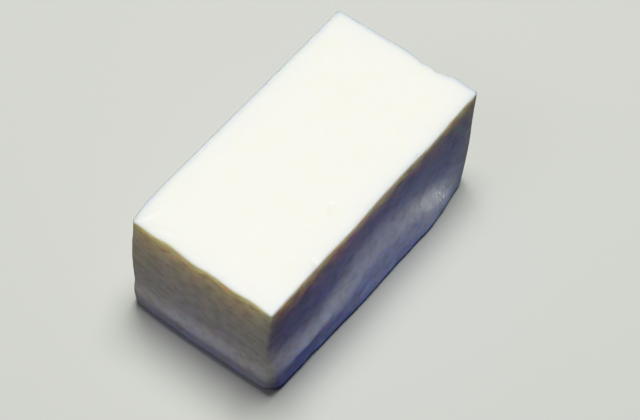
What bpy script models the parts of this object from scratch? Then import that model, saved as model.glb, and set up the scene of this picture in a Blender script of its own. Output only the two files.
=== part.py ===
"""A block of fresh soft tofu, cut square and standing on its base.

Units are metres. +X runs along the block, +Y across it and +Z up, and the origin is under the
middle of the base.

The block is one solid. A knife cut its walls upright and its top flat, so its upper edges are
sharp. The curd is soft and wet, so its own weight has spread the foot: the walls bow out
towards the base, the upright corners grow rounder on the way down, and the lowest edge rolls
under. The top keeps the marks of handling: a wavy near edge, a tucked corner and a chip that
is missing from the far edge.
"""

import math
from dataclasses import dataclass

import bmesh
import bpy
from mathutils import Vector

MM = 0.001

# The block as cut, before it sags.
LENGTH = 106.0 * MM
WIDTH = 55.0 * MM
HEIGHT = 47.1 * MM

# The upright corners: nearly sharp at the top, round at the foot, most of all in front.
TOP_CORNER = 0.4 * MM
FRONT_FOOT_CORNER = 6.4 * MM
BACK_FOOT_CORNER = 4.6 * MM
CORNER_GROWTH = 5.0

# The lowest edge rolls under with this radius, down to the flat base.
ROLL = 2.4 * MM

# The near end's upper edge waves where the knife slowed.
WAVE_DEPTH = 0.35 * MM
WAVE_LENGTH = 15.0 * MM
WAVE_REACH = 14.0 * MM
WAVE_CREST = 2.2 * MM

# The chip missing from the far end's upper edge: a steep side, two scallops and a raised lip.
CHIP_FLOOR = 0.55 * MM
CHIP_STEEP_SIDE = -17.9 * MM
CHIP_STEEP_RUN = 0.9 * MM
CHIP_SHALLOW_SIDE = -2.0 * MM
CHIP_SHALLOW_RUN = 8.0 * MM
CHIP_DROP = 7.0 * MM
WIDE_SCALLOP = 0.65 * MM
WIDE_SCALLOP_AT = -6.3 * MM
WIDE_SCALLOP_WIDTH = 2.8 * MM
NARROW_SCALLOP = 0.85 * MM
NARROW_SCALLOP_AT = -12.6 * MM
NARROW_SCALLOP_WIDTH = 1.6 * MM
LIP = 0.35 * MM
LIP_AT = -19.4 * MM
LIP_WIDTH = 3.2 * MM

# The back wall is pressed in at its upper near corner.
TUCK_ALONG = 13.0 * MM
TUCK_DEPTH = 1.4 * MM
TUCK_DROP = 24.0 * MM

# The top slopes off a little along its rim.
RIM_WIDTH = 2.2 * MM
RIM_DROP = 0.25 * MM

# Distances in from each face at which the mesh is cut close, and the wider steps between.
CLOSE_CUTS = (0.8 * MM, 2.0 * MM, 3.6 * MM, 6.0 * MM)
FOOT_CUTS = (0.15 * MM, 0.6 * MM, 1.3 * MM, 2.4 * MM)
LONG_STEP = 4.4 * MM
SHORT_STEP = 2.5 * MM

CURD_COLOR = (0.94, 0.93, 0.86, 1.0)
CURD_ROUGHNESS = 0.38
CURD_METALLIC = 0.0


@dataclass(frozen=True)
class Wall:
    """How one upright wall leaves its cut plane as it sags. Places run along the wall.

    The foot spreads most at the crest and not at all past the reach on either side of it. The
    spread starts at the height foot, and climb higher around climb_at. Around waist_at the
    wall is also hollow half way up.
    """

    spread: float
    crest: float
    reach_low: float
    reach_high: float
    foot: float
    climb: float
    climb_at: float
    climb_width: float
    waist: float
    waist_at: float
    waist_width: float

    def stands_out(self, along, z):
        """How far the wall stands out past its cut plane at a place along it and a height."""
        past = along - self.crest
        share = (past / self.reach_high) ** 4 if past > 0.0 else (past / self.reach_low) ** 2
        bow = max(0.0, 1.0 - share)
        top = self.foot + self.climb * bell(along, self.climb_at, self.climb_width)
        fade = max(0.0, 1.0 - z / top)
        upright = math.sin(math.pi * min(1.0, z / HEIGHT))
        hollow = self.waist * bell(along, self.waist_at, self.waist_width) * upright
        return self.spread * bow * ease(fade) - hollow


FRONT = Wall(spread=2.9 * MM, crest=14 * MM, reach_low=84 * MM, reach_high=36 * MM,
             foot=10 * MM, climb=22 * MM, climb_at=3 * MM, climb_width=22 * MM,
             waist=1.2 * MM, waist_at=-53 * MM, waist_width=30 * MM)
BACK = Wall(spread=2.4 * MM, crest=-8 * MM, reach_low=74 * MM, reach_high=62 * MM,
            foot=11 * MM, climb=17 * MM, climb_at=-12 * MM, climb_width=26 * MM,
            waist=0.7 * MM, waist_at=40 * MM, waist_width=34 * MM)
NEAR_END = Wall(spread=1.3 * MM, crest=-1 * MM, reach_low=33 * MM, reach_high=33 * MM,
                foot=17 * MM, climb=4 * MM, climb_at=6 * MM, climb_width=12 * MM,
                waist=0.5 * MM, waist_at=-8 * MM, waist_width=26 * MM)
FAR_END = Wall(spread=1.2 * MM, crest=8 * MM, reach_low=32 * MM, reach_high=30 * MM,
               foot=14 * MM, climb=8 * MM, climb_at=6 * MM, climb_width=14 * MM,
               waist=0.4 * MM, waist_at=4 * MM, waist_width=24 * MM)


def bell(place, middle, width):
    """A smooth hump: 1 at its middle and fading out over its width."""
    return math.exp(-((place - middle) / width) ** 2)


def ease(share):
    """A share from 0 to 1 that starts and ends gently."""
    share = min(1.0, max(0.0, share))
    return share * share * (3.0 - 2.0 * share)


def corner_radius(y, z):
    """Plan radius at a height of the upright corners on one side of the block."""
    foot = FRONT_FOOT_CORNER if y < 0.0 else BACK_FOOT_CORNER
    return TOP_CORNER + (foot - TOP_CORNER) * (1.0 - z / HEIGHT) ** CORNER_GROWTH


def roll_under(z):
    """How far the walls draw in where the lowest edge rolls under."""
    below = max(0.0, ROLL - z)
    return ROLL - math.sqrt(ROLL * ROLL - below * below)


def knife_wave(y, z):
    """How far the near end's wavy upper edge stands out."""
    fade = ease(1.0 - (HEIGHT - z) / WAVE_REACH)
    return WAVE_DEPTH * fade * math.cos(2.0 * math.pi * (y - WAVE_CREST) / WAVE_LENGTH)


def chip(y, z):
    """How much is missing from the far end's upper edge."""
    steep = ease((y - CHIP_STEEP_SIDE) / CHIP_STEEP_RUN)
    shallow = ease((CHIP_SHALLOW_SIDE - y) / CHIP_SHALLOW_RUN)
    missing = CHIP_FLOOR * shallow
    missing += WIDE_SCALLOP * bell(y, WIDE_SCALLOP_AT, WIDE_SCALLOP_WIDTH)
    missing += NARROW_SCALLOP * bell(y, NARROW_SCALLOP_AT, NARROW_SCALLOP_WIDTH)
    lip = LIP * bell(y, LIP_AT, LIP_WIDTH)
    return (missing * steep - lip) * ease(1.0 - (HEIGHT - z) / CHIP_DROP)


def tuck(x, z):
    """How far the back wall is pressed in towards its upper near corner."""
    near = max(0.0, 1.0 - (x + LENGTH / 2) / TUCK_ALONG)
    return TUCK_DEPTH * near * near * ease(1.0 - (HEIGHT - z) / TUCK_DROP)


def rounded(x, y, radius):
    """Moves a point of the square plan to its place in a plan with round corners."""
    past_x = abs(x) - (LENGTH / 2 - radius)
    past_y = abs(y) - (WIDTH / 2 - radius)
    if past_x <= 0.0 or past_y <= 0.0:
        return x, y
    shrink = max(past_x, past_y) / math.hypot(past_x, past_y)
    return (math.copysign(LENGTH / 2 - radius + past_x * shrink, x),
            math.copysign(WIDTH / 2 - radius + past_y * shrink, y))


def shaped(point):
    """The place in the sagged block of a point of the block as cut."""
    z = point.z
    x, y = rounded(point.x, point.y, corner_radius(point.y, z))
    near = NEAR_END.stands_out(y, z) + knife_wave(y, z) - roll_under(z)
    far = FAR_END.stands_out(y, z) - chip(y, z) - roll_under(z)
    front = FRONT.stands_out(x, z) - roll_under(z)
    back = BACK.stands_out(x, z) - tuck(x, z) - roll_under(z)
    along = x / LENGTH + 0.5
    across = y / WIDTH + 0.5
    in_from_rim = min(LENGTH / 2 - abs(point.x), WIDTH / 2 - abs(point.y))
    drop = RIM_DROP * ease(1.0 - in_from_rim / RIM_WIDTH) * ease(2.0 * z / HEIGHT - 1.0)
    return Vector((x + far * along - near * (1.0 - along),
                   y + back * across - front * (1.0 - across),
                   z - drop))


def cuts(low, high, close_low, step):
    """Places of the cuts between two faces, close together near each face."""
    first = [low + place for place in close_low]
    last = [high - place for place in reversed(CLOSE_CUTS)]
    gap = last[0] - first[-1]
    count = round(gap / step)
    return first + [first[-1] + gap * i / count for i in range(1, count)] + last


def cut_across(block, axis, places):
    """Cuts the mesh by planes square to an axis, without parting it."""
    for place in places:
        bmesh.ops.bisect_plane(block, geom=block.verts[:] + block.edges[:] + block.faces[:],
                               plane_co=axis * place, plane_no=axis)


def centre_over_origin(block):
    """Moves the block sideways so that its box is centred over the origin."""
    for axis in (Vector((1, 0, 0)), Vector((0, 1, 0))):
        places = [vert.co.dot(axis) for vert in block.verts]
        middle = (min(places) + max(places)) / 2
        bmesh.ops.translate(block, verts=block.verts, vec=-axis * middle)


def curd_material():
    """Fresh curd: nearly white, a little glossy because it is wet."""
    material = bpy.data.materials.new("silken_curd")
    material.use_nodes = True
    shader = material.node_tree.nodes["Principled BSDF"]
    shader.inputs["Base Color"].default_value = CURD_COLOR
    shader.inputs["Roughness"].default_value = CURD_ROUGHNESS
    shader.inputs["Metallic"].default_value = CURD_METALLIC
    return material


def tofu_block():
    """Makes the block: a cut box, finely divided and then sagged."""
    block = bmesh.new()
    bmesh.ops.create_cube(block, size=1.0)
    bmesh.ops.scale(block, verts=block.verts, vec=(LENGTH, WIDTH, HEIGHT))
    bmesh.ops.translate(block, verts=block.verts, vec=(0, 0, HEIGHT / 2))
    cut_across(block, Vector((1, 0, 0)), cuts(-LENGTH / 2, LENGTH / 2, CLOSE_CUTS, LONG_STEP))
    cut_across(block, Vector((0, 1, 0)), cuts(-WIDTH / 2, WIDTH / 2, CLOSE_CUTS, SHORT_STEP))
    cut_across(block, Vector((0, 0, 1)), cuts(0.0, HEIGHT, FOOT_CUTS, SHORT_STEP))
    for vert in block.verts:
        vert.co = shaped(vert.co)
    centre_over_origin(block)
    bmesh.ops.recalc_face_normals(block, faces=block.faces)
    mesh = bpy.data.meshes.new("tofu_block")
    block.to_mesh(mesh)
    block.free()
    mesh.shade_smooth()
    mesh.set_sharp_from_angle(angle=math.radians(40))
    mesh.materials.append(curd_material())
    obj = bpy.data.objects.new("tofu_block", mesh)
    bpy.context.collection.objects.link(obj)
    return obj


for old in list(bpy.data.objects):
    bpy.data.objects.remove(old, do_unlink=True)
tofu_block()
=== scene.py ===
"""A block of fresh soft tofu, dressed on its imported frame.

The block is one piece of silken curd. It was cut square with a wet knife and has since sagged
under its own weight, so its walls lean outwards towards the foot while its upper edges stay
crisp. The curd is nearly white, lets some light through and is wet all over.

Units are metres. +X runs along the block, +Y across it and +Z up.
"""

import logging
import math
from dataclasses import astuple, dataclass
from enum import Enum
from functools import lru_cache

import bmesh
import bpy
import numpy as np
from mathutils import Matrix, Vector, noise


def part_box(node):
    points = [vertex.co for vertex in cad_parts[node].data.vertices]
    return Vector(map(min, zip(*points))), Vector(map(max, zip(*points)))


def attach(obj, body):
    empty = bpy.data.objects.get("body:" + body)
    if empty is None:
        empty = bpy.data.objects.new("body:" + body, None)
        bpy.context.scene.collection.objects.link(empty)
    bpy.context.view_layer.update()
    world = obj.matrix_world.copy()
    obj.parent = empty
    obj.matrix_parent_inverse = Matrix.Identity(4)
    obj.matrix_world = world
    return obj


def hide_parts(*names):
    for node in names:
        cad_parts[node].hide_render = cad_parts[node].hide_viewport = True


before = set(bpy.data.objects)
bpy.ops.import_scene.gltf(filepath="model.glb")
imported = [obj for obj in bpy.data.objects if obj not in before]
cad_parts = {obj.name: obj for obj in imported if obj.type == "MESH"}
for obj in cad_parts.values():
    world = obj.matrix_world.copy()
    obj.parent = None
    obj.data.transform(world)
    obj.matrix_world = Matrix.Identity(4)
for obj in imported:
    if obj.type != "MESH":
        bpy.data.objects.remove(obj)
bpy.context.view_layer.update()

MM = 0.001

log = logging.getLogger("tofu")


def linear(code: str) -> tuple[float, float, float, float]:
    """Turns an sRGB hex colour into linear values.

    Args:
        code: six hex digits after a hash sign.

    Returns:
        Linear red, green and blue from 0 to 1, and an alpha of 1.
    """
    channels = [int(code[place:place + 2], 16) / 255 for place in (1, 3, 5)]
    straight = [c / 12.92 if c <= 0.04045 else ((c + 0.055) / 1.055) ** 2.4 for c in channels]
    return (*straight, 1.0)


def add_node(tree: bpy.types.NodeTree, kind: str, settings: dict | None = None,
             inputs: dict | None = None) -> bpy.types.Node:
    """Adds a node with its settings and links.

    Args:
        tree: the node tree that gets the node.
        kind: the node's Blender type.
        settings: values for the node's own properties.
        inputs: values or output sockets for its input sockets, by name or number.

    Returns:
        The new node.
    """
    node = tree.nodes.new(kind)
    for name, value in (settings or {}).items():
        setattr(node, name, value)
    for key, value in (inputs or {}).items():
        if isinstance(value, bpy.types.NodeSocket):
            tree.links.new(value, node.inputs[key])
        else:
            node.inputs[key].default_value = value
    return node


def add_pattern(tree: bpy.types.NodeTree, place: bpy.types.NodeSocket, size: float,
                detail: float) -> bpy.types.NodeSocket:
    """Adds a soft random pattern of a real size.

    Args:
        tree: the node tree that gets the pattern.
        place: the coordinates that it reads, in metres.
        size: the size of its largest patches.
        detail: how many finer layers it has.

    Returns:
        Its value, which lies round 0.5.
    """
    return add_node(tree, "ShaderNodeTexNoise", inputs={
        "Vector": place, "Scale": 1.0 / size, "Detail": detail,
        "Roughness": 0.6}).outputs["Fac"]


def bell(place: float, middle: float, width: float) -> float:
    """Gives a smooth hump: 1 at its middle, fading out over its width."""
    return math.exp(-((place - middle) / width) ** 2)


def ease(share: float) -> float:
    """Gives a share, held to 0..1, a gentle start and end."""
    share = min(1.0, max(0.0, share))
    return share * share * (3.0 - 2.0 * share)


def soft_ramp(rise: float, softness: float) -> float:
    """Gives a rise where it is positive and nothing where it is negative, with a soft bend.

    Args:
        rise: the value without the bend.
        softness: how wide the bend is. It isn't felt past 20 times this.

    Returns:
        The value with the bend.
    """
    if rise > 20.0 * softness:
        return rise
    return softness * math.log1p(math.exp(rise / softness))


@dataclass(frozen=True)
class Hump:
    """A smooth hump along an edge, in millimetres."""

    middle: float
    width: float
    rise: float

    def at(self, place: float) -> float:
        """Gives the hump's rise at a place along the edge, in metres."""
        return self.rise * MM * bell(place, self.middle * MM, self.width * MM)


@dataclass(frozen=True)
class Station:
    """How a wall stands at one place along it, in millimetres.

    From its upper edge the wall draws in by the hollow, down to the height of the crease. From
    there it comes out to the crest, and then runs on down to the foot. The last two say how
    far the crest and the foot stand out past the cut plane.
    """

    along: float
    hollow: float
    crease: float
    crest: float
    out: float
    foot: float


@dataclass(frozen=True)
class Wall:
    """One upright wall: how it leaves its cut plane as the curd sags.

    The bends are the softness of its crease and of its crest, and the reach is how far along
    the wall one station eases into the next, all in millimetres.
    """

    stations: tuple[Station, ...]
    crease_bend: float = 1.6
    crest_bend: float = 1.0
    reach: float = 3.0

    @lru_cache(maxsize=None)
    def station(self, along: float) -> tuple[float, ...]:
        """Gives what a station holds at any place, eased between the stations.

        Args:
            along: the place along the wall, in millimetres.

        Returns:
            The hollow, crease, crest, out and foot, in millimetres.
        """
        nearby = [along + share * self.reach for share in (-1.0, -0.5, 0.0, 0.5, 1.0)]
        places, *columns = zip(*map(astuple, self.stations))
        return tuple(float(np.interp(nearby, places, column).mean()) for column in columns)

    def stands_out(self, along: float, z: float, height: float) -> float:
        """Gives how far the wall stands out past its cut plane.

        Args:
            along: the place along the wall.
            z: the height of the point.
            height: the height of the whole block.

        Returns:
            The distance outwards, which is negative where the wall is hollow.
        """
        hollow, crease, crest, out, foot = self.station(round(along / MM, 2))
        up, top = z / MM, height / MM
        lowest = (out - foot) / crest
        middle = (-hollow - out) / (crease - crest)
        upper = hollow / (top - crease)
        place = foot + lowest * up + (middle - lowest) * soft_ramp(up - crest, self.crest_bend)
        return (place + (upper - middle) * soft_ramp(up - crease, self.crease_bend)) * MM


@dataclass(frozen=True)
class Mark:
    """A small dent or ridge: a long soft hump along a line in the surface, up or down.

    The middle, length, width and rise are in millimetres. The heading need not be of length 1.
    """

    middle: tuple[float, float, float]
    heading: tuple[float, float, float]
    length: float
    width: float
    rise: float

    def at(self, point: Vector) -> float:
        """Gives the mark's rise.

        Args:
            point: a point of the surface.

        Returns:
            The rise there, in metres, below 0 in a dent.
        """
        away = point - Vector(self.middle) * MM
        along = away.dot(Vector(self.heading).normalized())
        aside = max(0.0, away.length_squared - along * along)
        spread = (along / (self.length * MM)) ** 2 + aside / (self.width * MM) ** 2
        return self.rise * MM * math.exp(-spread) if spread < 9.0 else 0.0


@dataclass(frozen=True)
class WetPatch:
    """A place where whey still stands on the curd, in small glossy beads.

    The middle and the half sizes are in millimetres.
    """

    middle: tuple[float, float, float]
    size: tuple[float, float, float]


@dataclass(frozen=True)
class SilkenCurd:
    """Silken tofu: soya milk set in one piece, cut with a wet knife and left wet.

    The set curd is nearly white with a trace of cream. Light goes several millimetres into it,
    blue least, so an edge that is lit from above glows warm. Its skin of water gives a soft
    gloss over a faint grain. The cut walls keep the drag marks of the knife, and the top is
    the smooth skin of the mould. The darker streaks along the drag marks on the walls are
    painted shade.
    """

    cream: str = "#FDFBF5"
    whey: str = "#F4F1E5"
    # Painted shade for the streaks of the drag marks on the walls.
    painted_drag_shade: str = "#DEDACD"
    roughness: tuple[float, float] = (0.34, 0.48)
    refraction: float = 1.36
    light_reach: tuple[float, float, float] = (1.0, 0.69, 0.285)
    light_depth: float = 10.5 * MM
    water_weight: float = 0.25
    water_roughness: float = 0.12
    water_refraction: float = 1.33
    mottle_size: float = 9.0 * MM
    # The knife's drag marks lie flatter than they are long, and the streaks are their hollows,
    # where painted shade darkens the walls.
    drag_size: float = 3.2 * MM
    drag_stretch: tuple[float, float, float] = (0.8, 0.8, 1.2)
    drag_depth: float = 0.15 * MM
    streaks: tuple[float, float] = (0.42, 0.68)
    # Below this height the walls take the painted shade of the drag marks; the top does not.
    wall_top: float = 46.4 * MM
    # The curd's grain is some tenths of a millimetre. It is drawn coarser, so that it shows.
    grain_size: float = 0.9 * MM
    grain_depth: float = 0.06 * MM
    # Beads of whey about 2 mm apart stand on the wet patches, each under 2 mm across.
    bead_spacing: float = 1.9 * MM
    bead_reach: float = 0.45
    bead_height: float = 0.13 * MM
    bead_roughness: float = 0.1
    wet_core: float = 0.7
    wet_patches: tuple[WetPatch, ...] = (
        WetPatch((36.5, -28.5, 7.5), (6.0, 6.0, 5.5)),
        WetPatch((24.2, -28.5, 14.5), (5.0, 5.0, 4.5)),
    )

    def material(self) -> bpy.types.Material:
        """Makes the curd's material.

        Returns:
            A material that reads the piece's object coordinates.
        """
        material = bpy.data.materials.new("silken_curd_wet")
        material.use_nodes = True
        tree = material.node_tree
        tree.nodes.clear()
        place = add_node(tree, "ShaderNodeTexCoord").outputs["Object"]
        drawn = add_node(tree, "ShaderNodeMapping", inputs={
            "Vector": place, "Scale": self.drag_stretch})
        mottle = add_pattern(tree, place, self.mottle_size, 6.0)
        drag = add_pattern(tree, drawn.outputs["Vector"], self.drag_size, 3.0)
        beads = self.beads(tree, place)
        curd = add_node(tree, "ShaderNodeBsdfPrincipled", inputs={
            "Base Color": self.colour(tree, place, mottle, drag),
            "Roughness": self.gloss(tree, mottle, beads),
            "Normal": self.relief(tree, place, drag, beads), "IOR": self.refraction,
            "Subsurface Weight": 1.0, "Subsurface Radius": self.light_reach,
            "Subsurface Scale": self.light_depth, "Coat Weight": self.water_weight,
            "Coat Roughness": self.water_roughness, "Coat IOR": self.water_refraction})
        add_node(tree, "ShaderNodeOutputMaterial", inputs={"Surface": curd.outputs["BSDF"]})
        return material

    def colour(self, tree: bpy.types.NodeTree, place: bpy.types.NodeSocket,
               mottle: bpy.types.NodeSocket, drag: bpy.types.NodeSocket
               ) -> bpy.types.NodeSocket:
        """Mottles the curd from cream to whey, and paints shade into the drag marks on its
        walls.

        Args:
            tree: the material's node tree.
            place: the object coordinates.
            mottle: the pattern of the mottling.
            drag: the pattern of the drag marks.

        Returns:
            The curd's colour.
        """
        skin = add_node(tree, "ShaderNodeMix", {"data_type": "RGBA"}, {
            "Factor": mottle, "A": linear(self.cream), "B": linear(self.whey)})
        height = add_node(tree, "ShaderNodeSeparateXYZ", inputs={"Vector": place})
        wall = add_node(tree, "ShaderNodeMapRange", inputs={
            "Value": height.outputs["Z"], "From Min": self.wall_top - MM,
            "From Max": self.wall_top, "To Min": 1.0, "To Max": 0.0})
        streaks = add_node(tree, "ShaderNodeMapRange", inputs={
            "Value": drag, "From Min": self.streaks[0], "From Max": self.streaks[1]})
        # Painted shade: the drag marks' streaks are darkened, on the walls only.
        shade = add_node(tree, "ShaderNodeMath", {"operation": "MULTIPLY"}, {
            0: streaks.outputs["Result"], 1: wall.outputs["Result"]})
        return add_node(tree, "ShaderNodeMix", {"data_type": "RGBA"}, {
            "Factor": shade.outputs["Value"], "A": skin.outputs["Result"],
            "B": linear(self.painted_drag_shade)}).outputs["Result"]

    def gloss(self, tree: bpy.types.NodeTree, mottle: bpy.types.NodeSocket,
              beads: bpy.types.NodeSocket) -> bpy.types.NodeSocket:
        """Varies the gloss with the mottling and makes the beads glossy.

        Args:
            tree: the material's node tree.
            mottle: the pattern of the mottling.
            beads: the height of the beads, as a share.

        Returns:
            The curd's roughness.
        """
        skin = add_node(tree, "ShaderNodeMapRange", inputs={
            "Value": mottle, "From Min": 0.3, "From Max": 0.7,
            "To Min": self.roughness[0], "To Max": self.roughness[1]})
        return add_node(tree, "ShaderNodeMix", {"data_type": "FLOAT"}, {
            "Factor": beads, "A": skin.outputs["Result"],
            "B": self.bead_roughness}).outputs["Result"]

    def relief(self, tree: bpy.types.NodeTree, place: bpy.types.NodeSocket,
               drag: bpy.types.NodeSocket, beads: bpy.types.NodeSocket
               ) -> bpy.types.NodeSocket:
        """Lays the grain, the beads and the drag marks over one another.

        Args:
            tree: the material's node tree.
            place: the object coordinates.
            drag: the pattern of the drag marks.
            beads: the height of the beads, as a share.

        Returns:
            The normal that they give the surface.
        """
        fine = add_node(tree, "ShaderNodeBump", inputs={
            "Strength": 0.3, "Distance": self.grain_depth,
            "Height": add_pattern(tree, place, self.grain_size, 4.0)})
        standing = add_node(tree, "ShaderNodeBump", inputs={
            "Strength": 1.0, "Distance": self.bead_height, "Height": beads,
            "Normal": fine.outputs["Normal"]})
        return add_node(tree, "ShaderNodeBump", inputs={
            "Strength": 0.5, "Distance": self.drag_depth, "Height": drag,
            "Normal": standing.outputs["Normal"]}).outputs["Normal"]

    def beads(self, tree: bpy.types.NodeTree, place: bpy.types.NodeSocket
              ) -> bpy.types.NodeSocket:
        """Stands round beads of whey on the wet patches.

        Args:
            tree: the material's node tree.
            place: the object coordinates.

        Returns:
            The height of the beads: 1 on top of one and 0 between them.
        """
        cells = add_node(tree, "ShaderNodeTexVoronoi", inputs={
            "Vector": place, "Scale": 1.0 / self.bead_spacing})
        dome = add_node(tree, "ShaderNodeMapRange", {"interpolation_type": "SMOOTHSTEP"}, {
            "Value": cells.outputs["Distance"], "From Min": 0.0, "From Max": self.bead_reach,
            "To Min": 1.0, "To Max": 0.0})
        return add_node(tree, "ShaderNodeMath", {"operation": "MULTIPLY"}, {
            0: dome.outputs["Result"], 1: self.wetness(tree, place)}).outputs["Value"]

    def wetness(self, tree: bpy.types.NodeTree, place: bpy.types.NodeSocket
                ) -> bpy.types.NodeSocket:
        """Joins the wet patches.

        Args:
            tree: the material's node tree.
            place: the object coordinates.

        Returns:
            A value of 1 in the middle of a patch, which fades to 0 at its rim.
        """
        total = None
        for patch in self.wet_patches:
            away = add_node(tree, "ShaderNodeVectorMath", {"operation": "SUBTRACT"}, {
                0: place, 1: Vector(patch.middle) * MM})
            share = add_node(tree, "ShaderNodeVectorMath", {"operation": "DIVIDE"}, {
                0: away.outputs["Vector"], 1: Vector(patch.size) * MM})
            reach = add_node(tree, "ShaderNodeVectorMath", {"operation": "LENGTH"}, {
                0: share.outputs["Vector"]})
            fade = add_node(tree, "ShaderNodeMapRange", {"interpolation_type": "SMOOTHSTEP"}, {
                "Value": reach.outputs["Value"], "From Min": self.wet_core, "From Max": 1.0,
                "To Min": 1.0, "To Max": 0.0})
            if total is None:
                total = fade.outputs["Result"]
            else:
                total = add_node(tree, "ShaderNodeMath", {"operation": "MAXIMUM"}, {
                    0: total, 1: fade.outputs["Result"]}).outputs["Value"]
        return total


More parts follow.
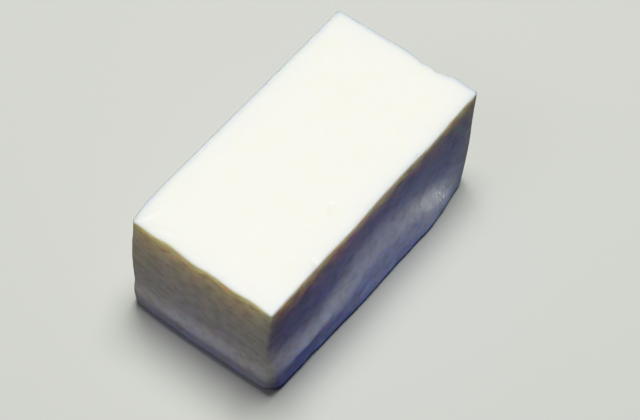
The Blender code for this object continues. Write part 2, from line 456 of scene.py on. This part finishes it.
@dataclass
class TofuBlock:
    """The block of tofu: a cut box that has sagged, with the marks of knife and hand.

    What is named drop is the distance below the top over which a form of the upper edge fades.
    """

    length: float = 106.0 * MM
    width: float = 55.0 * MM
    height: float = 47.1 * MM
    # The step of the mesh, and how much closer it is along the edges than between them.
    step: float = 0.58 * MM
    crowding: float = 0.45
    # The upright corners are nearly sharp at the top and round at the foot.
    top_corner: float = 0.7 * MM
    front_foot_corner: float = 6.4 * MM
    back_foot_corner: float = 4.6 * MM
    corner_growth: float = 5.0
    # The lowest edge rolls under, and the upper edges are barely round.
    roll: float = 2.4 * MM
    edge_round: float = 0.3 * MM
    # The near end's upper edge lies back, most of all on its back half. It waves where the
    # knife slowed, and one dent is deeper.
    wave_drop: float = 14.0 * MM
    wave_depth: float = 0.18 * MM
    wave_length: float = 15.2 * MM
    wave_crest: float = 2.6 * MM
    wave_dent: Hump = Hump(13.0, 5.0, 0.4)
    edge_back: float = 0.08 * MM
    back_half_back: float = 0.32 * MM
    back_half_from: float = 9.0 * MM
    back_half_run: float = 5.0 * MM
    # The front wall's upper edge stands out in two low swells.
    brow_drop: float = 11.0 * MM
    brow_out: float = 0.12 * MM
    brow_swells: tuple[Hump, ...] = (Hump(-13.0, 9.0, 0.36), Hump(29.0, 9.0, 0.46))
    # A chip is missing from the far end's upper edge: a steep side, two scallops, a raised lip.
    chip_drop: float = 7.0 * MM
    chip_floor: float = 0.55 * MM
    chip_steep_side: float = -17.9 * MM
    chip_steep_run: float = 0.9 * MM
    chip_shallow_side: float = -2.0 * MM
    chip_shallow_run: float = 8.0 * MM
    chip_scallops: tuple[Hump, ...] = (Hump(-6.3, 2.8, 0.65), Hump(-12.6, 1.6, 0.85))
    chip_lip: Hump = Hump(-19.4, 3.2, 0.35)
    # The back wall is pressed in at its upper near corner.
    tuck_drop: float = 24.0 * MM
    tuck_depth: float = 1.4 * MM
    tuck_along: float = 13.0 * MM
    # The top slopes off a little along its rim.
    rim_width: float = 2.2 * MM
    rim_fall: float = 0.25 * MM
    # The cut faces are a little uneven: slow swells and short drag marks.
    swell_rise: float = 0.12 * MM
    swell_size: float = 13.0 * MM
    drag_rise: float = 0.09 * MM
    drag_size: float = 4.0 * MM
    drag_squeeze: float = 1.3
    # The foot's edge wanders where the wet curd has crept.
    creep_reach: float = 0.28 * MM
    creep_size: float = 6.5 * MM
    creep_height: float = 5.0 * MM

    front: Wall = Wall((
        Station(-53, 1.5, 23, 12.5, 1.3, 1.3), Station(-47, 1.1, 20, 11.5, 1.6, 1.5),
        Station(-38, 0.8, 17.5, 10.5, 1.5, 1.8), Station(-30, 0.8, 17.5, 10.5, 1.6, 2.0),
        Station(-21, 1.1, 17.5, 11, 2.2, 2.4), Station(-14, 1.5, 22, 13, 2.2, 2.8),
        Station(-6, 1.7, 27, 16, 1.9, 3.0), Station(8, 1.4, 26.5, 15.5, 1.7, 3.1),
        Station(20, 1.5, 22.5, 13, 2.1, 3.3), Station(30, 1.4, 17.5, 8.5, 2.4, 3.6),
        Station(38, 1.0, 13.5, 6, 2.0, 2.9), Station(46, 0.2, 16, 5, 1.0, 1.3),
        Station(53, -0.25, 21, 5, 0.3, 0.2)), crease_bend=1.3)
    back: Wall = Wall((
        Station(-53, 0, 12, 3, 1.3, 1.6), Station(-12, 0.3, 26, 7, 2.1, 2.4),
        Station(30, 0.6, 14, 4, 1.3, 1.5), Station(53, 0.6, 11, 3, 0.1, 0.2)))
    near_end: Wall = Wall((
        Station(-27.5, 0.1, 14, 8.5, 0.7, 0.1), Station(-20, 0.1, 13.5, 8.5, 1.25, 0.35),
        Station(-12, 0.1, 13.5, 8.5, 1.5, 0.6), Station(4, 0.1, 13.5, 8.2, 1.7, 0.8),
        Station(16, 0.1, 13.5, 8.5, 1.5, 0.6), Station(27.5, 0, 14, 8, 0.7, 0.3)),
        crease_bend=0.7, crest_bend=0.6)
    far_end: Wall = Wall((
        Station(-27.5, -0.3, 14, 4, 0.4, 0.5), Station(-10, 0.3, 17, 5, 0.7, 0.8),
        Station(8, 0.4, 20, 6, 1.05, 1.2), Station(27.5, 0.2, 14, 4, 0.7, 0.8)))

    marks: tuple[Mark, ...] = (
        # The top: a pit like a comma with a small rim, a pin hole, and two soft folds where
        # the back corner was lifted.
        Mark((-11.9, -18.3, 47.1), (1, 0.4, 0), 1.7, 0.8, -0.95),
        Mark((-13.0, -17.3, 47.1), (1, 0.5, 0), 1.0, 0.5, 0.2),
        Mark((7.6, 0.3, 47.1), (1, 0, 0), 0.7, 0.6, -0.45),
        Mark((-47.6, 22.9, 46.9), (5.4, -2.1, 0), 3.4, 0.8, 0.22),
        Mark((-49.8, 16.6, 46.9), (2.7, -7.5, 0), 4.4, 0.9, 0.2),
        # Nicks in the front upper edge.
        Mark((-30.6, -25.9, 47.0), (-0.2, -1, 0), 1.3, 0.6, -0.35),
        Mark((21.8, -26.6, 47.0), (1, 0, 0), 1.2, 0.8, -0.35),
        Mark((-31, -27.5, 47.0), (1, 0, 0), 1.6, 1.0, -0.25),
        Mark((-17, -27.6, 47.0), (1, 0, 0), 1.8, 1.0, -0.2),
        Mark((-2, -27.5, 47.0), (1, 0, 0), 2.0, 1.0, -0.15),
        # The near end: the hollow under its ledge.
        Mark((-54.2, 0, 4.2), (0, 1, 0), 20.0, 2.4, -0.25),
        # The front wall: its low ridge and the hollow under it, wrinkles across the ridge,
        # dents high up and two thin scratches.
        Mark((-35, -29.4, 10.8), (1, 0, 0.03), 8.0, 1.7, 0.7),
        Mark((-25, -29.5, 12.5), (1, 0, 0.4), 4.0, 1.8, 0.35),
        Mark((-32, -29.8, 4.8), (1, 0, 0.05), 12.0, 2.4, -0.25),
        Mark((-21.8, -29.8, 16), (1.6, 0, -5.3), 3.4, 0.6, -0.3),
        Mark((-25, -28.3, 28), (1, 0, 1.4), 2.6, 0.6, -0.2),
        Mark((27, -28, 31), (1, 0, 0.1), 6.0, 4.5, -0.5),
        Mark((-14, -28, 37), (1, 0, -0.1), 9.0, 3.0, -0.25),
        Mark((27, -28, 33), (1, 0, 0.2), 1.6, 0.5, 0.2),
        Mark((16, -27.8, 41), (1, 0, 0.3), 1.5, 0.5, 0.2),
    )

    def build(self, material: bpy.types.Material) -> bpy.types.Object:
        """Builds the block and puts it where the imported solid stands.

        Args:
            material: the curd's material.

        Returns:
            The finished object, with its place in its mesh.
        """
        block = self.cut_box()
        for vert in block.verts:
            vert.co = self.sagged(vert.co)
        block.normal_update()
        self.mark(block)
        self.settle(block)
        mesh = bpy.data.meshes.new("tofu_curd")
        block.to_mesh(mesh)
        block.free()
        mesh.shade_smooth()
        mesh.materials.append(material)
        obj = bpy.data.objects.new("tofu_curd", mesh)
        bpy.context.scene.collection.objects.link(obj)
        return obj

    def cut_box(self) -> bmesh.types.BMesh:
        """Makes the box as cut, finely divided and closest along its edges.

        Returns:
            The box, standing on the plane z = 0.
        """
        block = bmesh.new()
        bmesh.ops.create_cube(block, size=1.0)
        size = (self.length, self.width, self.height)
        for axis, side in enumerate(size):
            across = [edge for edge in block.edges
                      if abs((edge.verts[0].co - edge.verts[1].co)[axis]) > 0.5]
            bmesh.ops.subdivide_edges(block, edges=across, cuts=round(side / self.step) - 1,
                                      use_grid_fill=True)
        for vert in block.verts:
            for axis, side in enumerate(size):
                share = vert.co[axis] + 0.5
                share -= self.crowding * math.sin(2.0 * math.pi * share) / (2.0 * math.pi)
                vert.co[axis] = (share - 0.5) * side
        bmesh.ops.translate(block, verts=block.verts, vec=(0, 0, self.height / 2))
        return block

    def sagged(self, point: Vector) -> Vector:
        """Moves a point of the box as cut to its place in the sagged block.

        Args:
            point: the point as cut.

        Returns:
            Its place after the sag.
        """
        z = point.z
        x, y = self.rounded(point.x, point.y, z)
        inset = self.inset(z) - self.creep(x, y, z)
        near = self.near_end.stands_out(y, z, self.height) + self.knife_wave(y, z) - inset
        far = self.far_end.stands_out(y, z, self.height) - self.chip(y, z) - inset
        front = self.front.stands_out(x, z, self.height) + self.brow(x, z) - inset
        back = self.back.stands_out(x, z, self.height) - self.tuck(x, z) - inset
        along = x / self.length + 0.5
        across = y / self.width + 0.5
        return Vector((x + far * along - near * (1.0 - along),
                       y + back * across - front * (1.0 - across),
                       z - self.rim(point)))

    def rounded(self, x: float, y: float, z: float) -> tuple[float, float]:
        """Rounds the upright corners in plan, more towards the foot.

        Args:
            x: place along the block as cut.
            y: place across the block as cut.
            z: height.

        Returns:
            The same point in the plan with round corners.
        """
        foot = self.front_foot_corner if y < 0.0 else self.back_foot_corner
        share = (1.0 - z / self.height) ** self.corner_growth
        radius = self.top_corner + (foot - self.top_corner) * share
        past_x = abs(x) - (self.length / 2 - radius)
        past_y = abs(y) - (self.width / 2 - radius)
        if past_x <= 0.0 or past_y <= 0.0:
            return x, y
        shrink = max(past_x, past_y) / math.hypot(past_x, past_y)
        return (math.copysign(self.length / 2 - radius + past_x * shrink, x),
                math.copysign(self.width / 2 - radius + past_y * shrink, y))

    def inset(self, z: float) -> float:
        """Draws the walls in where the lowest edge rolls under and the upper edge rounds.

        Args:
            z: height.

        Returns:
            How far the walls draw in.
        """
        below = min(self.roll, max(0.0, self.roll - z))
        above = min(self.edge_round, max(0.0, z - self.height + self.edge_round))
        return (self.roll - math.sqrt(self.roll ** 2 - below ** 2)
                + self.edge_round - math.sqrt(self.edge_round ** 2 - above ** 2))

    def near_top(self, z: float, drop: float) -> float:
        """Gives 1 at the height of the top, fading to 0 over a drop below it."""
        return ease(1.0 - (self.height - z) / drop)

    def knife_wave(self, y: float, z: float) -> float:
        """Shapes the near end's wavy upper edge.

        Args:
            y: place across the block.
            z: height.

        Returns:
            How far the edge stands out.
        """
        wave = self.wave_depth * math.cos(2.0 * math.pi * (y - self.wave_crest)
                                          / self.wave_length)
        back = self.edge_back + self.back_half_back * ease(
            (y - self.back_half_from) / self.back_half_run)
        return self.near_top(z, self.wave_drop) * (wave - self.wave_dent.at(y) - back)

    def brow(self, x: float, z: float) -> float:
        """Gives how far the front wall's upper edge stands out."""
        out = self.brow_out + sum(swell.at(x) for swell in self.brow_swells)
        return self.near_top(z, self.brow_drop) * out

    def chip(self, y: float, z: float) -> float:
        """Breaks the chip out of the far end's upper edge.

        Args:
            y: place across the block.
            z: height.

        Returns:
            How much is missing, below 0 on the raised lip.
        """
        steep = ease((y - self.chip_steep_side) / self.chip_steep_run)
        shallow = ease((self.chip_shallow_side - y) / self.chip_shallow_run)
        missing = self.chip_floor * shallow + sum(hump.at(y) for hump in self.chip_scallops)
        return (missing * steep - self.chip_lip.at(y)) * self.near_top(z, self.chip_drop)

    def tuck(self, x: float, z: float) -> float:
        """Gives how far the back wall is pressed in towards its upper near corner."""
        near = max(0.0, 1.0 - (x + self.length / 2) / self.tuck_along)
        return self.tuck_depth * near * near * self.near_top(z, self.tuck_drop)

    def rim(self, point: Vector) -> float:
        """Slopes the top off along its rim.

        Args:
            point: a point of the box as cut.

        Returns:
            How far it moves down.
        """
        inwards = min(self.length / 2 - abs(point.x), self.width / 2 - abs(point.y))
        share = ease(1.0 - inwards / self.rim_width)
        return self.rim_fall * share * ease(2.0 * point.z / self.height - 1.0)

    def unevenness(self, point: Vector) -> float:
        """Makes a wet cut face a little uneven.

        Args:
            point: a point of the surface.

        Returns:
            How far it stands out.
        """
        drawn = Vector((point.x, point.y, self.drag_squeeze * point.z))
        swell = self.swell_rise * noise.noise(point / self.swell_size)
        drag = self.drag_rise * noise.noise(drawn / self.drag_size)
        return (swell + drag) * ease(point.z / (2.0 * MM)) * ease((self.height - point.z) / MM)

    def creep(self, x: float, y: float, z: float) -> float:
        """Gives how far the foot's edge wanders out where the wet curd has crept."""
        wander = noise.noise(Vector((x, y, 0.0)) / self.creep_size)
        return self.creep_reach * wander * ease(1.0 - z / self.creep_height)

    def mark(self, block: bmesh.types.BMesh) -> None:
        """Presses the small marks into the surface, along its normals.

        Args:
            block: the sagged block, with its normals up to date.
        """
        moves = []
        for vert in block.verts:
            rise = self.unevenness(vert.co) + sum(mark.at(vert.co) for mark in self.marks)
            moves.append(vert.normal * rise)
        for vert, move in zip(block.verts, moves):
            vert.co += move

    def settle(self, block: bmesh.types.BMesh) -> None:
        """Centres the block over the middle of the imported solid.

        Args:
            block: the block with all its marks.
        """
        low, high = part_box("tofu_block")
        for axis in (0, 1):
            places = [vert.co[axis] for vert in block.verts]
            shift = (low[axis] + high[axis] - min(places) - max(places)) / 2
            for vert in block.verts:
                vert.co[axis] += shift


class LightKind(Enum):
    """What a studio light does: strips tint the walls, and a glint shines on beads of whey."""

    KEY = "key"
    FILL = "fill"
    STRIP = "strip"
    GLINT = "glint"


@dataclass(frozen=True)
class SoftLight:
    """A rectangular soft light that looks at a point of the block.

    Azimuth 0 stands in front of the long front wall, and 90 at the far end. Lengths are in
    metres, angles in degrees and the power in watts.
    """

    kind: LightKind
    azimuth: float
    elevation: float
    distance: float
    size: tuple[float, float]
    power: float
    colour: str
    target: tuple[float, float, float] = (0.0, 0.0, 23.5 * MM)
    glint_spread: float = 22.0

    def place(self, lit: bpy.types.Collection) -> bpy.types.Object:
        """Puts the light up, out of the camera's sight.

        Args:
            lit: all that a strip or a glint lights, and all that shades it. A glint is seen
                only as a reflection in it. The other lights reach everything.

        Returns:
            The light's object.
        """
        data = bpy.data.lights.new(f"{self.kind.value}_light", "AREA")
        data.shape = "RECTANGLE"
        data.size, data.size_y = self.size
        data.energy = self.power
        data.color = linear(self.colour)[:3]
        light = bpy.data.objects.new(data.name, data)
        right, up, back = axes(self.azimuth, self.elevation)
        light.matrix_world = (Matrix.Translation(Vector(self.target) + back * self.distance)
                              @ Matrix((right, up, back)).transposed().to_4x4())
        light.visible_camera = False
        if self.kind in (LightKind.STRIP, LightKind.GLINT):
            light.light_linking.receiver_collection = lit
            light.light_linking.blocker_collection = lit
        if self.kind is LightKind.GLINT:
            light.visible_diffuse = False
            data.spread = math.radians(self.glint_spread)
        bpy.context.scene.collection.objects.link(light)
        return light


def axes(azimuth: float, elevation: float) -> tuple[Vector, Vector, Vector]:
    """Gives the right, up and back directions of something that looks at the block.

    Args:
        azimuth: its direction round the block in degrees, 0 in front and 90 at the far end.
        elevation: its height above the horizon in degrees.

    Returns:
        Three unit vectors square to each other.
    """
    turn, lift = math.radians(azimuth), math.radians(elevation)
    back = Vector((math.sin(turn) * math.cos(lift), -math.cos(turn) * math.cos(lift),
                   math.sin(lift)))
    right = Vector((math.cos(turn), math.sin(turn), 0.0))
    return right, back.cross(right), back


@dataclass
class Studio:
    """A pale floor, soft light and the camera. Angles are in degrees, as for the lights."""

    floor_radius: float = 3.0
    floor_colour: str = "#C3C7CC"
    floor_roughness: float = 0.9
    air_colour: str = "#A9D8FF"
    air_strength: float = 0.004
    lens: float = 105.0
    sensor: float = 36.0
    azimuth: float = -55.23
    elevation: float = 55.227
    roll: float = 2.887
    distance: float = 593.1 * MM
    aim: tuple[float, float, float] = (-0.83 * MM, -6.05 * MM, 23.5 * MM)
    lights: tuple[SoftLight, ...] = (
        SoftLight(LightKind.KEY, 115, 80, 1.2, (0.55, 0.55), 18.3, "#FFFDEE"),
        SoftLight(LightKind.FILL, 250, 50, 1.2, (0.55, 0.55), 1.6, "#FFF9F3"),
        SoftLight(LightKind.STRIP, 270, 30, 0.2, (0.12, 0.05), 0.039, "#FFF8BE",
                  (-54 * MM, 0.0, 20 * MM)),
        SoftLight(LightKind.STRIP, 270, -5, 0.03, (0.06, 0.01), 0.0012, "#0030FF",
                  (-54 * MM, 0.0, 6 * MM)),
        SoftLight(LightKind.STRIP, 4, -2.5, 0.0453, (0.06, 0.01), 0.0043, "#8F9AFF",
                  (4 * MM, -30 * MM, 8 * MM)),
        SoftLight(LightKind.STRIP, -3.8, -13, 0.031, (0.03, 0.006), 0.0007, "#1028FF",
                  (-38 * MM, -30 * MM, 11 * MM)),
        SoftLight(LightKind.STRIP, 28, -7, 0.1, (0.1, 0.02), 0.0078, "#B8D4FF",
                  (0.0, -30 * MM, 12 * MM)),
        SoftLight(LightKind.GLINT, 61, -30, 0.06, (0.008, 0.008), 0.000065, "#FFFFFF",
                  (34.5 * MM, -28.5 * MM, 8.5 * MM)),
        SoftLight(LightKind.GLINT, 57, -25, 0.06, (0.006, 0.006), 0.00005, "#FFFFFF",
                  (24 * MM, -28.5 * MM, 15 * MM)),
    )
    # The brightness that shows as white, and how the highlights roll off below it: pairs of
    # the light that comes in, as a share of that brightness, and the light that shows.
    white: float = 1.3
    shoulder: tuple[tuple[float, float], ...] = (
        (0.0, 0.0), (0.423, 0.55), (0.577, 0.725), (0.692, 0.83), (0.769, 0.88),
        (0.846, 0.915), (0.923, 0.94), (1.0, 0.955))

    def floor(self) -> bpy.types.Object:
        """Lays the plain pale floor just under the block.

        Returns:
            The floor's object, out of the block's reflections.
        """
        disc = bmesh.new()
        bmesh.ops.create_circle(disc, cap_ends=True, segments=96, radius=self.floor_radius)
        mesh = bpy.data.meshes.new("studio_floor")
        disc.to_mesh(mesh)
        disc.free()
        material = bpy.data.materials.new("matt_floor_paint")
        material.use_nodes = True
        shader = material.node_tree.nodes["Principled BSDF"]
        shader.inputs["Base Color"].default_value = linear(self.floor_colour)
        shader.inputs["Roughness"].default_value = self.floor_roughness
        mesh.materials.append(material)
        obj = bpy.data.objects.new("studio_floor", mesh)
        bpy.context.scene.collection.objects.link(obj)
        obj.visible_diffuse = False
        obj.visible_glossy = False
        return obj

    def light(self, block: bpy.types.Object) -> None:
        """Puts up the lights and the dim light of the room.

        Args:
            block: all that the strips and glints light, so that they leave no patches on
                the floor.
        """
        lit = bpy.data.collections.new("lit_by_strips")
        lit.objects.link(block)
        for light in self.lights:
            light.place(lit)
        world = bpy.data.worlds.new("studio_air")
        world.use_nodes = True
        air = world.node_tree.nodes["Background"]
        air.inputs["Color"].default_value = linear(self.air_colour)
        air.inputs["Strength"].default_value = self.air_strength
        bpy.context.scene.world = world

    def camera(self) -> bpy.types.Object:
        """Sets the camera, with its slight roll.

        Returns:
            The camera's object.
        """
        data = bpy.data.cameras.new("studio_camera")
        data.lens = self.lens
        data.sensor_width = self.sensor
        camera = bpy.data.objects.new("studio_camera", data)
        right, up, back = axes(self.azimuth, self.elevation)
        camera.matrix_world = (Matrix.Translation(Vector(self.aim) + back * self.distance)
                               @ Matrix((right, up, back)).transposed().to_4x4()
                               @ Matrix.Rotation(math.radians(self.roll), 4, "Z"))
        bpy.context.scene.collection.objects.link(camera)
        bpy.context.scene.camera = camera
        return camera

    def develop(self) -> None:
        """Shows colours plainly, with highlights that roll off softly below white."""
        view = bpy.context.scene.view_settings
        view.view_transform = "Standard"
        view.use_curve_mapping = True
        view.curve_mapping.white_level = (self.white,) * 3
        curve = view.curve_mapping.curves[3]
        for point, place in zip(curve.points, (self.shoulder[0], self.shoulder[-1])):
            point.location = place
        for place in self.shoulder[1:-1]:
            curve.points.new(*place).handle_type = "VECTOR"
        view.curve_mapping.update()


def main() -> None:
    """Builds the block, dresses it and sets the studio round it."""
    logging.basicConfig(level=logging.INFO, format="%(name)s: %(message)s")
    studio = Studio()
    studio.camera()
    studio.floor()
    studio.develop()
    block = TofuBlock().build(SilkenCurd().material())
    studio.light(block)
    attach(block, "root")
    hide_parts("tofu_block")
    log.info("%s: %d faces", block.name, len(block.data.polygons))


if __name__ == "__main__":
    main()
